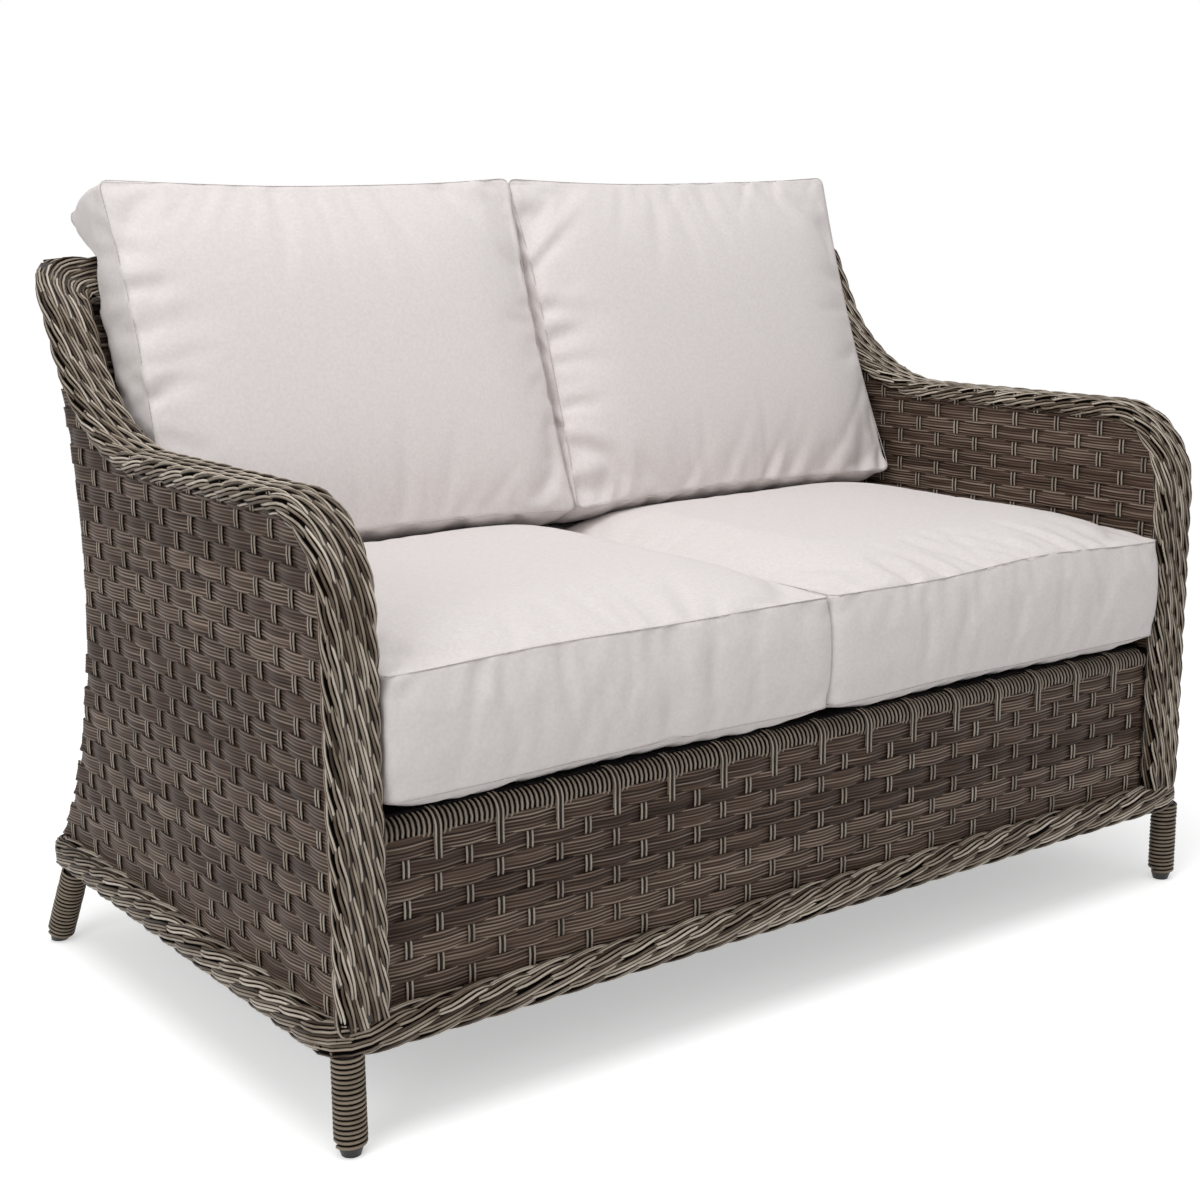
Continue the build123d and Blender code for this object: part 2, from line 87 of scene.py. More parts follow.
def new_material(name, roughness, specular=0.5):
    material = bpy.data.materials.new(name)
    material.use_nodes = True
    shader = material.node_tree.nodes["Principled BSDF"]
    shader.inputs["Roughness"].default_value = roughness
    shader.inputs["Specular IOR Level"].default_value = specular
    return material, material.node_tree, shader


def dress(node, material):
    piece = nodes[node]
    piece.data.materials.clear()
    piece.data.materials.append(material)


def link(tree, source, target):
    tree.links.new(source, target)


def add_node(tree, kind, **constants):
    """A shader node with its constant inputs. An underscore stands for a space in an input's name."""
    node = tree.nodes.new("ShaderNode" + kind)
    for name, value in constants.items():
        node.inputs[name.replace("_", " ")].default_value = value
    return node


def object_place(tree, stretch):
    """Object coordinates, stretched along each axis."""
    place = add_node(tree, "TexCoord")
    mapping = add_node(tree, "Mapping", Scale=stretch)
    link(tree, place.outputs["Object"], mapping.inputs["Vector"])
    return mapping.outputs["Vector"]


def noise(tree, stretch, scale=1.0, detail=2.0):
    node = add_node(tree, "TexNoise", Scale=scale, Detail=detail)
    link(tree, object_place(tree, stretch), node.inputs["Vector"])
    return node.outputs["Fac"]


def ramp(tree, factor, stops):
    """Colours as the eye sees them, each at its place along the factor."""
    node = add_node(tree, "ValToRGB")
    while len(node.color_ramp.elements) < len(stops):
        node.color_ramp.elements.new(0.5)
    for element, (position, colour) in zip(node.color_ramp.elements, stops):
        element.position = position
        element.color = linear(*colour)
    link(tree, factor, node.inputs["Fac"])
    return node.outputs["Color"]


def tint(tree, shader, factor, stops):
    link(tree, ramp(tree, factor, stops), shader.inputs["Base Color"])


def bump(tree, shader, height, distance, strength=1.0):
    node = add_node(tree, "Bump", Distance=distance, Strength=strength)
    link(tree, height, node.inputs["Height"])
    link(tree, node.outputs["Normal"], shader.inputs["Normal"])


powder_coat, tree, shader = new_material("powder_coat", 0.5)
coat_grain = noise(tree, (900, 900, 900))
tint(tree, shader, coat_grain, [(0.3, (34, 26, 22)), (0.7, (47, 37, 31))])
bump(tree, shader, coat_grain, 0.0002)
for node in tube_nodes:
    dress(node, powder_coat)

# Floor glides: domed feet of black plastic, each moulded in one piece with the plug that is pressed into the
# end of its leg. The floor has scuffed them a little.
glide_plastic, tree, shader = new_material("glide_plastic", 0.45)
scuff = noise(tree, (160, 160, 160))
tint(tree, shader, scuff, [(0.4, (16, 16, 17)), (0.8, (38, 37, 36))])
bump(tree, shader, scuff, 0.0003)
dress("floor_glides", glide_plastic)

# Woven panels: flat synthetic ribbons, ridged along their length, passed over and under paired round spokes.
# Neighbouring rows go over opposite spokes, so each spoke shows in every second row. Their ends run into the
# braids, and the rows of the sides turn the rear corner to meet those of the back.
row_pitch = 0.0210
spoke_pitch = 0.03685
ribbon_tall = 0.0228
ribbon_swing = 0.0020
ribbon_edge = 0.0007
ridge_count = 6
ridge_high = 0.0004
spoke_radius = 0.0014
spoke_spread = 0.0029
spoke_swing = 0.0009
spoke_overrun = 0.004
spoke_margin = 0.002
samples_per_spoke = 4
samples_per_row = 3
row_reach_share = 0.7
end_lap = 0.004
post_lap = 0.006
nose_clear = 0.014
nose_near = 0.008
fade_into_corner = 0.016
hair = 0.0002
panel_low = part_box("side_weave_outer_right")[0].z
panel_x = (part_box("side_weave_outer_right")[0].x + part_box("side_weave_outer_right")[1].x) / 2
inner_panel_x = (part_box("side_weave_inner_right")[0].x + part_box("side_weave_inner_right")[1].x) / 2
inner_panel_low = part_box("side_weave_inner_right")[0].z
panel_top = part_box("back_weave")[1].z
post_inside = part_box("side_weave_outer_right")[0].y
waist_y = 0.242
waist_z = 0.5
flare_up = 0.645
flare_down = 0.580
back_panel_half = 0.0025
rear_corner = 0.006
back_corner = 0.035
back_top_z = 0.862
arm_top_z = 0.650
braid_thick = 0.027
nose_radius = 0.110
nose_place = Vector((post_inside - 0.0003 - braid_thick + nose_radius, arm_top_z - nose_radius))
rise_radius = 0.221
rise_angle = radians(62)
rise_place = Vector((nose_place.x + 0.3345, arm_top_z + rise_radius))
dice = np.random.default_rng(7)


def back_y(z):
    """The middle of the back panel's thickness at a height."""
    radius = flare_up if z >= waist_z else flare_down
    return waist_y + radius - sqrt(radius ** 2 - (z - waist_z) ** 2) - back_panel_half


def hoop_y(z):
    """Where the arm braid's inner edge is at a height: the front end of a row of the side panels."""
    inner_nose = nose_radius - braid_thick
    if z <= nose_place.y:
        return nose_place.x - inner_nose
    if z < nose_place.y + inner_nose:
        return nose_place.x - sqrt(inner_nose ** 2 - (z - nose_place.y) ** 2)
    outer_rise = rise_radius + braid_thick
    reach = rise_place.y - z
    if reach > outer_rise * cos(rise_angle):
        return rise_place.x + sqrt(max(outer_rise ** 2 - reach ** 2, 0))
    leave = rise_place + Vector((sin(rise_angle), -cos(rise_angle))) * outer_rise
    return leave.x + (z - leave.y) / sin(rise_angle) * cos(rise_angle)


def ring_faces(rings, points):
    """The faces of a tube of rings of points, with its ends closed."""
    near = np.arange(rings - 1)[:, None] * points + np.arange(points)[None]
    far = np.arange(rings - 1)[:, None] * points + (np.arange(points)[None] + 1) % points
    sides = np.stack([near, far, far + points, near + points], -1).reshape(-1, 4).tolist()
    return sides + [list(range(points))[::-1], list(range((rings - 1) * points, rings * points))]


def lofted(centres, across, out, section, crest):
    """A closed section carried along a line of points. crest is how proud each point of the section stands,
    from 0 in a groove to 1 on a ridge."""
    rings = len(centres)
    spread = across[:, None] * section[None, :, :1] + out[:, None] * section[None, :, 1:]
    corners = (centres[:, None] + spread).reshape(-1, 3)
    return corners, ring_faces(rings, len(section)), np.tile(crest, rings)


def point_values(mesh, name, values):
    """One number for each point, which the material reads by its name."""
    mesh.attributes.new(name, "FLOAT", "POINT").data.foreach_set("value", values.astype(np.float32))


def mesh_piece(name, parts, tones, material):
    """One smooth mesh of many lofted parts. Each part keeps its own tone for the material, and its crests."""
    corners, faces, shades, crests, start = [], [], [], [], 0
    for (points, sides, crest), tone in zip(parts, tones):
        corners.append(points)
        faces += [[start + corner for corner in side] for side in sides]
        shades.append(np.full(len(points), tone, np.float32))
        crests.append(crest)
        start += len(points)
    mesh = bpy.data.meshes.new(name)
    mesh.from_pydata(np.concatenate(corners).tolist(), [], faces)
    point_values(mesh, "tone", np.concatenate(shades))
    point_values(mesh, "crest", np.concatenate(crests))
    mesh.shade_smooth()
    mesh.materials.append(material)
    return add_object(name, mesh)


def ribbon_section():
    """Ridges on the face of a ribbon, as heights across it, and how proud each point stands."""
    steps = np.linspace(-ribbon_tall / 2, ribbon_tall / 2, 2 * ridge_count + 1)
    ridge = np.arange(len(steps)) % 2
    rear = steps[::-1][::3]
    points = np.concatenate([np.stack([steps, ridge * ridge_high + ribbon_edge / 2], -1),
                             np.stack([rear, np.full(len(rear), -ribbon_edge)], -1)])
    return points, np.concatenate([ridge, np.arange(len(rear)) % 2])


def round_section(radius, sides=8):
    turn = np.arange(sides) * 2 * pi / sides
    return np.stack([np.cos(turn), np.sin(turn)], -1) * radius, 0.5 + 0.5 * np.sin(turn)


def unit(vectors):
    return vectors / np.linalg.norm(vectors, axis=-1, keepdims=True)


def ribbon(place, start, end, height, row, fade=0.0):
    """One row's ribbon. place gives a point and the outward direction for a distance along and a height."""
    count = max(int((end - start) / spoke_pitch * samples_per_spoke * 2), 4)
    along = np.linspace(start, end, count)
    points, outs = zip(*[place(u, height) for u in along])
    points, outs = np.array(points), np.array(outs)
    swing = ribbon_swing * np.cos(pi * along / spoke_pitch + pi * row)
    if fade:
        swing *= np.clip((end - along) / fade, 0, 1)
    ups = np.array([place(u, height + row_pitch / 2)[0] for u in along])
    downs = np.array([place(u, height - row_pitch / 2)[0] for u in along])
    return lofted(points + outs * swing[:, None], (ups - downs) / row_pitch, outs, *ribbon_section())


def spoke_pair(place, along, low, high, column):
    """Two pale canes with a dark strand between them that darkens the gap of the pair, running up the panel.
    """
    count = max(int((high - low) / row_pitch * samples_per_row), samples_per_row)
    heights = np.linspace(low, high, count)
    points, outs = zip(*[place(along, z) for z in heights])
    points, outs = np.array(points), np.array(outs)
    swing = -spoke_swing * np.cos(pi * (heights - panel_low) / row_pitch - pi / 2 + pi * column)
    sideways = unit(np.array(place(along + row_pitch, low)[0]) - np.array(place(along, low)[0]))
    sideways = np.tile(sideways, (count, 1))
    line = points + outs * swing[:, None]
    return [lofted(line + sideways * shift, sideways, outs, *round_section(spoke_radius))
            for shift in (-spoke_spread, 0, spoke_spread)]


def woven_panel(name, material_pair, place, low, high, ends, fade=0.0):
    """Rows of ribbon between two heights, and the paired spokes that they pass. ends gives a row's two ends.
    A spoke stops where the rows draw back from it, as at the waist, and begins again beyond."""
    parts, tones = [], []
    first = round((low - panel_low) / row_pitch)
    rows = range(first, int((high - panel_low) / row_pitch) + 1)
    spans = {}
    for row in rows:
        height = panel_low + (row + 0.5) * row_pitch
        span = ends(height - row_reach_share * row_pitch)
        if span[1] - span[0] < spoke_pitch:
            continue
        spans[row] = span
        parts.append(ribbon(place, *span, height, row, fade))
        tones.append(dice.uniform())
    ribbons = mesh_piece(f"{name}_ribbons", parts, tones, material_pair[0])
    parts, tones = [], []
    widest = min(s[0] for s in spans.values()), max(s[1] for s in spans.values())
    for column in range(int(widest[0] / spoke_pitch) - 1, int(widest[1] / spoke_pitch) + 2):
        along = column * spoke_pitch
        reached = [row for row, (start, end) in spans.items()
                   if start + spoke_margin < along < end - fade - spoke_margin]
        for held in np.split(reached, np.flatnonzero(np.diff(reached) > 1) + 1):
            if not len(held):
                continue
            bottom = max(panel_low + held[0] * row_pitch - spoke_overrun, low - spoke_overrun)
            top = min(panel_low + (held[-1] + 1) * row_pitch + spoke_overrun, high + spoke_overrun)
            parts += spoke_pair(place, along, bottom, top, column)
            pale = dice.uniform(0.7, 1.0)
            # The middle strand takes tone 0, the darkest, which darkens the gap between the pale pair.
            tones += [pale, 0.0, pale]
    spokes = mesh_piece(f"{name}_spokes", parts, tones, material_pair[1])
    return ribbons, spokes


def attribute(tree, name):
    node = add_node(tree, "Attribute")
    node.attribute_name = name
    return node.outputs["Fac"]


def mixed(tree, first, second, share):
    """A share of the second value in the first."""
    node = add_node(tree, "Mix", Factor=share)
    link(tree, first, node.inputs["A"])
    link(tree, second, node.inputs["B"])
    return node.outputs["Result"]


def ribbon_material(name, along):
    """Brown ribbon, streaked along the axis that the rows follow, with painted highlight on its ridges and
    painted shade in its grooves.
    """
    material, tree, shader = new_material(name, 0.5, 0.12)
    stretch = {"x": (6, 30, 480), "y": (30, 6, 480)}[along]
    streak = noise(tree, stretch, 1.0, 3.0)
    # Painted highlight and shade: the crest attribute lightens the ridges and darkens the grooves, down to
    # near black.
    shade = mixed(tree, mixed(tree, attribute(tree, "crest"), streak, 0.72), attribute(tree, "tone"), 0.10)
    tint(tree, shader, shade, [
        (0.28, (8, 5, 3)), (0.42, (50, 37, 30)), (0.56, (84, 68, 58)), (0.70, (148, 133, 120))])
    bump(tree, shader, streak, 0.0004, 0.5)
    return material


# The colour of the painted shade on the sides of round cane strands.
shadow_colour = (14, 8, 5)


def cane_material(name, groove, stops, roughness=0.42, specular=0.15):
    """Round synthetic cane: each strand has its own tone, with a slow mottle along it. It darkens from its
    crest to its sides as painted shade, between the two crest values that it is given."""
    material, tree, shader = new_material(name, roughness, specular)
    body = ramp(tree, mixed(tree, attribute(tree, "tone"), noise(tree, (45, 45, 45)), 0.3), stops)
    side = add_node(tree, "MapRange", From_Min=groove[0], From_Max=groove[1])
    link(tree, attribute(tree, "crest"), side.inputs["Value"])
    # Painted shade: each strand's sides are mixed towards shadow_colour by how far they turn from its crest.
    shaded = add_node(tree, "Mix")
    shaded.data_type = "RGBA"
    shaded.inputs[6].default_value = linear(*shadow_colour)
    link(tree, side.outputs["Result"], shaded.inputs["Factor"])
    link(tree, body, shaded.inputs[7])
    link(tree, shaded.outputs[2], shader.inputs["Base Color"])
    return material


# The first pair given to each cane material is the span of crest over which painted shade darkens the
# strand's sides.
spoke_cane = cane_material("spoke_cane", (0.45, 0.85), [
    (0.2, (18, 13, 11)), (0.45, (70, 59, 51)), (0.65, (136, 124, 112)), (0.9, (178, 166, 152))])
ribbon_side = ribbon_material("ribbon_side", "y")
ribbon_back = ribbon_material("ribbon_back", "x")


def inner_side_place(sign):
    """The inner face of a side looks towards the seat."""
    def place(along, height):
        return (sign * inner_panel_x, along, height), (-sign, 0.0, 0.0)
    return place


def outer_side_place(sign):
    """Along is the distance back from the front; past the rear corner the row turns on to the back."""
    def place(along, height):
        corner = back_y(height) - rear_corner
        if along <= corner:
            return (sign * panel_x, along, height), (sign, 0.0, 0.0)
        angle = (along - corner) / rear_corner
        if angle <= pi / 2:
            x = panel_x - rear_corner + rear_corner * cos(angle)
            return (sign * x, corner + rear_corner * sin(angle), height), (sign * cos(angle), sin(angle), 0.0)
        past = (angle - pi / 2) * rear_corner
        return (sign * (panel_x - rear_corner - past), corner + rear_corner, height), (0.0, 1.0, 0.0)
    return place


corner_wrap = rear_corner * (pi / 2 - 1) + end_lap


def row_start(height):
    """Rows begin inside the post. The one level with the underside of the arm begins clear of its nose."""
    underside = nose_place.y + nose_radius - braid_thick
    return hoop_y(height) + (nose_clear if abs(height - underside) < nose_near else -post_lap)


def outer_ends(height):
    return row_start(height), back_y(height) + corner_wrap


def inner_ends(height):
    return row_start(height), back_y(height) - end_lap


def back_place(along, height):
    step = 0.001
    slope = (back_y(height + step) - back_y(height - step)) / (2 * step)
    out = unit(np.array((0.0, 1.0, -slope)))
    return (along, back_y(height), height), tuple(out)


def back_ends(height):
    """The rows of the back are shorter where the braid's top corners round off."""
    over = max(height + row_pitch - back_top_z + back_corner, 0)
    reach = panel_x - rear_corner - end_lap - back_corner + sqrt(max(back_corner ** 2 - over ** 2, 0))
    return -reach, reach


apron_low, apron_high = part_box("front_weave")
apron_y = (apron_low.y + apron_high.y) / 2


def apron_place(along, height):
    return (along, apron_y, height), (0.0, -1.0, 0.0)


def apron_ends(height):
    return apron_low.x + hair, apron_high.x - hair


side_pair, back_pair = (ribbon_side, spoke_cane), (ribbon_back, spoke_cane)
woven = {}
for side, sign in (("left", -1), ("right", 1)):
    woven[f"side_weave_outer_{side}"] = woven_panel(
        f"side_panel_outer_{side}", side_pair, outer_side_place(sign), panel_low, panel_top, outer_ends,
        fade_into_corner)
    woven[f"side_weave_inner_{side}"] = woven_panel(
        f"side_panel_inner_{side}", side_pair, inner_side_place(sign), inner_panel_low, panel_top, inner_ends)
woven["back_weave"] = woven_panel("back_panel", back_pair, back_place, panel_low, panel_top, back_ends)
woven["front_weave"] = woven_panel("apron", back_pair, apron_place, panel_low, apron_high.z, apron_ends)
for node, pieces in woven.items():
    for piece in pieces:
        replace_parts(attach(piece, "frame"), node)

# Seat rail winding: one round cord wound over the padded front rail, with the paired ends of every second
# spoke of the apron carried up over it and tucked behind.
rail_low, rail_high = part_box("seat_rail_winding")
rail_y, rail_z = (rail_low.y + rail_high.y) / 2, (rail_low.z + rail_high.z) / 2
rail_cord_radius = 0.0021
rail_winding_radius = (rail_high.z - rail_low.z) / 2 - rail_cord_radius + hair
rail_cord_pitch = 0.00614
rail_cord_start = 0.002
rail_cord_wander = 0.00012
rail_steps = 14
wrap_columns = 15
wrap_margin = 0.010
wrap_sink = 0.0004
wrap_points = 12
wrap_lean = 0.12
drop_points = 4
drop_span = (0.024, 0.004)


def tube(points, outs, radius, sides=8):
    """A round strand along a line of points. outs lean away from the line and fix the section's turn."""
    heading = unit(np.gradient(points, axis=0))
    across = unit(np.cross(heading, outs))
    return lofted(points, across, np.cross(across, heading), *round_section(radius, sides))


turns = (rail_high.x - rail_low.x) / rail_cord_pitch
angle = np.arange(int(turns * rail_steps)) * 2 * pi / rail_steps
outs = np.stack([np.zeros(len(angle)), np.sin(angle), np.cos(angle)], -1)
line = outs * rail_winding_radius + np.stack(
    [rail_low.x + rail_cord_start + angle / (2 * pi) * rail_cord_pitch, np.full(len(angle), rail_y),
     np.full(len(angle), rail_z)], -1)
line += dice.normal(0, rail_cord_wander, line.shape)
coil = tube(line, outs, rail_cord_radius)

wound_cane = cane_material("wound_cane", (0.72, 0.97), [
    (0.3, (104, 92, 81)), (0.5, (150, 138, 125)), (0.7, (186, 174, 160))])
coil_piece = mesh_piece("rail_winding", [coil], [0.5], wound_cane)
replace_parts(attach(coil_piece, "frame"), "seat_rail_winding")

wrap_radius = rail_winding_radius + rail_cord_radius + spoke_radius - wrap_sink
wraps, wrap_tones = [], []
for column in range(-wrap_columns, wrap_columns + 1):
    if abs(column * spoke_pitch) > apron_high.x - wrap_margin or column % 2:
        continue
    over_rail = np.linspace(-pi / 2 - wrap_lean, pi / 2, wrap_points)
    outs = np.stack([np.zeros(wrap_points), np.sin(over_rail), np.cos(over_rail)], -1)
    over = outs * wrap_radius + np.array([column * spoke_pitch, rail_y, rail_z])
    heights = np.linspace(apron_high.z - drop_span[0], apron_high.z - drop_span[1], drop_points)
    drop = np.array([column * spoke_pitch, apron_low.y - hair, 0.0]) + np.outer(heights, (0, 0, 1))
    route = np.concatenate([drop, over])
    outs = np.concatenate([np.tile([(0.0, -1.0, 0.0)], (drop_points, 1)), outs])
    # The middle strand takes tone 0, the darkest, which darkens the gap between the pale pair.
    for shift, tone in ((-spoke_spread, 0.9), (0, 0.0), (spoke_spread, 0.85)):
        wraps.append(tube(route + np.array([shift, 0, 0]), outs, spoke_radius))
        wrap_tones.append(tone)
wrap_piece = mesh_piece("rail_wraps", wraps, wrap_tones, spoke_cane)
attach(wrap_piece, "frame")

# Leg windings: a thicker round cord wound eighteen times round each leg, its ends pushed under the first and
# last turns. Worked by hand, so the turns are a little uneven.
winding_turns = 18
winding_pitch = 0.00535
winding_cord = 0.0023
winding_radius = 0.01505
winding_start = 0.0125
winding_wander = 0.00025
leg_steps = 20
leg_feet = {"front": (Vector((0.629, -0.361, 0)), Vector((0, 0, 1))),
            "rear": (Vector((0.652, 0.361, 0)), Vector((-0.016, -0.040, 0.1075)).normalized())}


def leg_winding(foot, axis):
    sideways = axis.cross(Vector((0, 1, 0))).normalized()
    other = axis.cross(sideways)
    angle = np.arange(winding_turns * leg_steps + 1) * 2 * pi / leg_steps
    outs = np.outer(np.cos(angle), sideways) + np.outer(np.sin(angle), other)
    climb = winding_start + angle / (2 * pi) * winding_pitch
    wander = np.repeat(dice.normal(0, winding_wander, winding_turns + 1), leg_steps)[:len(angle)]
    radius = winding_radius + 0.4 * wander
    line = np.array(foot) + outs * radius[:, None] + np.outer(climb + wander, axis)
    return tube(line, outs, winding_cord, 9)


leg_cane = cane_material("leg_cane", (0.74, 1.0), [
    (0.3, (88, 76, 62)), (0.5, (146, 133, 116)), (0.75, (182, 169, 152))])
for leg, (foot, axis) in leg_feet.items():
    wound = [leg_winding(foot, axis),
             leg_winding(Vector((-foot.x, foot.y, 0)), Vector((-axis.x, axis.y, axis.z)))]
    piece = mesh_piece(f"leg_winding_{leg}_cord", wound, dice.uniform(0.4, 0.6, 2), leg_cane)
    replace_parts(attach(piece, "frame"), f"leg_winding_{leg}")

# Braided ring round the base: pairs and threes of round strands, each laid up and over the rail, under its
# neighbour and back, so that they show as long slanted leaves over a core painted near black as the shade
# in the gaps between them. It rises to the right.
core_inset = 0.0036
braid_strand = 0.0018
braid_lift = 0.0034
leaf_points = 9
leaf_rise, leaf_sink, strand_gap = 0.8, 1.7, 2.1
odd_leaf_share = 0.3
ring_low, ring_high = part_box("base_braid_front")
ring_half_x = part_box("base_braid_right")[1].x
ring_half_y = -ring_low.y
ring_wide = 0.044
ring_tall = ring_high.z - ring_low.z
ring_round = 0.024


def walk(distance, runs, corner, point, normal):
    """Point and normal at a distance along runs that are straight and round by turns."""
    distance %= sum(runs)
    for index, run in enumerate(runs):
        step = min(distance, run)
        if index % 2:
            centre = point - normal * corner
            angle = step / corner
            normal = Vector((normal.x * cos(angle) - normal.y * sin(angle),
                             normal.x * sin(angle) + normal.y * cos(angle)))
            point = centre + normal * corner
        else:
            point += Vector((-normal.y, normal.x)) * step
        distance -= step
        if distance <= 0:
            break
    return point, normal


def around(distance, wide, tall, corner):
    """Point and normal on a rounded oblong, from the middle of its outer side towards its top."""
    turn = pi / 2 * corner
    level_run, end_run = wide - 2 * corner, tall / 2 - corner
    runs = [end_run, turn, level_run, turn, tall - 2 * corner, turn, level_run, turn, end_run]
    return walk(distance, runs, corner, Vector((wide / 2, 0)), Vector((1, 0)))


def girth(wide, tall, corner):
    return 2 * (wide + tall) - 8 * corner + 2 * pi * corner


def leaf(place, oblong, sense, middle, spot, long, sweep_wide, strands, lift):
    """The strands of one leaf. place turns a distance along and a point of the section into a place."""
    steps = np.linspace(-0.5, 0.5, leaf_points)
    parts = []
    for strand in range(strands):
        shift = (strand - (strands - 1) / 2) * braid_strand * strand_gap
        points, outs = [], []
        for t in steps:
            distance = sense * (spot + shift + sweep_wide / 2 * sin(pi * t))
            point, normal = around(distance, *oblong)
            high = (lift + leaf_rise * braid_strand) * cos(pi * t) - leaf_sink * braid_strand
            where, out = place(middle + t * long, point + normal * high, normal)
            points.append(where)
            outs.append(out)
        parts.append(tube(np.array(points), np.array(outs), braid_strand))
    return parts


leaf_tones = {2: (0.0, 0.35), 3: (0.0, 0.12, 0.6)}


def braid_piece(name, place, oblong, sense, start, end, columns, pitch, long, sweep_wide, strands):
    """Leaves in columns round a core between two distances along it. strands are the usual number in a leaf
    and the number in every third or so."""
    step = girth(*oblong) / columns
    rows = range(int(start / pitch) - 1, int(end / pitch) + 2)
    parts, tones = [], []
    for column in range(columns):
        for row in rows:
            middle = (row + 0.5 * (column % 2)) * pitch + dice.normal(0, 0.0008)
            if not start <= middle < end:
                continue
            count = strands[0] if dice.uniform() > odd_leaf_share else strands[1]
            wide = sweep_wide * dice.uniform(0.92, 1.08)
            parts += leaf(place, oblong, sense, middle, column * step, long * dice.uniform(0.97, 1.05), wide,
                          count, braid_lift * dice.uniform(0.9, 1.1))
            pale = dice.uniform(0.6, 1.0)
            tones += [pale - fall for fall in leaf_tones[count]]
    return mesh_piece(name, parts, tones, braid_cane)


core_points = 20


def core_piece(name, place, oblong, start, end, spacing, material):
    """A core under the leaves, painted near black as the shade in the gaps between them."""
    stations = np.linspace(start, end, max(int((end - start) / spacing), 2))
    outline = [around(spot * girth(*oblong) / core_points, *oblong) for spot in range(core_points)]
    corners = np.array([place(station, *edge)[0] for station in stations for edge in outline])
    faces = ring_faces(len(stations), core_points)
    return mesh_piece(name, [(corners, faces, np.zeros(len(corners)))], [0.0], material)


braid_cane = cane_material("braid_cane", (0.64, 0.98), [
    (0.1, (38, 26, 18)), (0.35, (86, 72, 58)), (0.6, (150, 137, 122)), (0.85, (210, 199, 184))])
# Painted shade: the core is coloured near black so that the gaps between the braid's leaves read as shade.
braid_gap_shade, tree, shader = new_material("braid_gap_shade", 0.9, 0.04)
gap_shade_mottle = noise(tree, (300, 300, 300))
tint(tree, shader, gap_shade_mottle, [(0.3, (7, 4, 3)), (0.7, (15, 10, 8))])

ring_runs = [2 * (ring_half_x - ring_wide / 2 - ring_round), pi / 2 * ring_round,
             2 * (ring_half_y - ring_wide / 2 - ring_round), pi / 2 * ring_round]
ring_long = 2 * sum(ring_runs)
ring_pitch = ring_long / round(ring_long / 0.046)
ring_leaf = (0.088, 0.012)
ring_columns = 8
ring_core_step = 0.010


def ring_place(distance, point, normal):
    """Distance runs from the front left corner to the right, then round by the back."""
    start = Vector((-ring_half_x + ring_wide / 2 + ring_round, -ring_half_y + ring_wide / 2))
    centre, out = walk(distance, ring_runs * 2, ring_round, start, Vector((0, -1)))
    where = (centre.x + out.x * point.x, centre.y + out.y * point.x, (ring_low.z + ring_high.z) / 2 + point.y)
    return where, (out.x * normal.x, out.y * normal.x, normal.y)


ring_oblong = (ring_wide - 2 * core_inset, ring_tall - 2 * core_inset, 0.010)
run_x, turn, run_y = ring_runs[0], ring_runs[1], ring_runs[2]
ring_spans = {"front": (-turn / 2, run_x + turn / 2),
              "right": (run_x + turn / 2, run_x + 1.5 * turn + run_y),
              "rear": (run_x + 1.5 * turn + run_y, 2 * run_x + 2.5 * turn + run_y),
              "left": (2 * run_x + 2.5 * turn + run_y, 2 * run_x + 3.5 * turn + 2 * run_y)}
for side, (start, end) in ring_spans.items():
    core = core_piece(f"ring_core_{side}", ring_place, ring_oblong, start, end, ring_core_step, braid_gap_shade)
    braid = braid_piece(f"ring_braid_{side}", ring_place, ring_oblong, 1, start, end, ring_columns,
                        ring_pitch, *ring_leaf, (3, 2))
    for piece in (core, braid):
        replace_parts(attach(piece, "frame"), f"base_braid_{side}")

# Arm and back braid: one wide flat braid over both tubes of the left hoop, round the back's top corner,
# across the back and down the right hoop. The strands lie nearly along it and lean outwards as it climbs.
braid_wide = 0.061
arm_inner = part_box("back_top_braid")[1].x
arm_mid = arm_inner + braid_wide / 2
braid_half = braid_thick / 2
slope = Vector((cos(rise_angle), sin(rise_angle)))
nose_line = nose_radius - braid_half
rise_line = rise_radius + braid_half
rise_end = rise_place + Vector((sin(rise_angle), -cos(rise_angle))) * rise_line
outer_end = rise_place + Vector((sin(rise_angle), -cos(rise_angle))) * rise_radius
slope_run = (back_top_z - outer_end.y) / sin(rise_angle) - braid_wide
pivot = rise_end + slope * slope_run
arm_runs = (nose_place.y - panel_low, pi / 2 * nose_line, rise_place.x - nose_place.x, rise_angle * rise_line,
            slope_run)
arm_long = sum(arm_runs)
arm_pitch = 0.034
arm_leaf = (0.068, 0.0100)
arm_columns = 10
arm_core_step = 0.008
corner_long = 0.070
tucked = 0.008
foot_reach = 0.012
half_long = arm_long + corner_long + arm_inner


def arm_line(distance):
    """Place and outward direction of the hoop's middle line, seen from the side."""
    post, nose, flat, climb, _ = arm_runs
    if distance < 0:
        distance = foot_reach * tanh(distance / foot_reach)
    if distance <= post:
        return Vector((nose_place.x - nose_line, panel_low + distance)), Vector((-1, 0))
    distance -= post
    if distance <= nose:
        out = Vector((-cos(distance / nose_line), sin(distance / nose_line)))
        return nose_place + out * nose_line, out
    distance -= nose
    if distance <= flat:
        return Vector((nose_place.x + distance, nose_place.y + nose_line)), Vector((0, 1))
    distance -= flat
    if distance <= climb:
        out = Vector((-sin(distance / rise_line), cos(distance / rise_line)))
        return rise_place - out * rise_line, out
    return rise_end + slope * (distance - climb), Vector((-slope.y, slope.x))


def corner_share(angle):
    """How far out the rounded corner is, in widths of the braid, at an angle round its inner corner."""
    flat = braid_wide / max(cos(angle), sin(angle))
    inset = braid_wide - back_corner
    lean = inset * (cos(angle) + sin(angle))
    if min(cos(angle), sin(angle)) * flat < inset:
        return flat / braid_wide
    return (lean + sqrt(lean ** 2 - 2 * inset ** 2 + back_corner ** 2)) / braid_wide


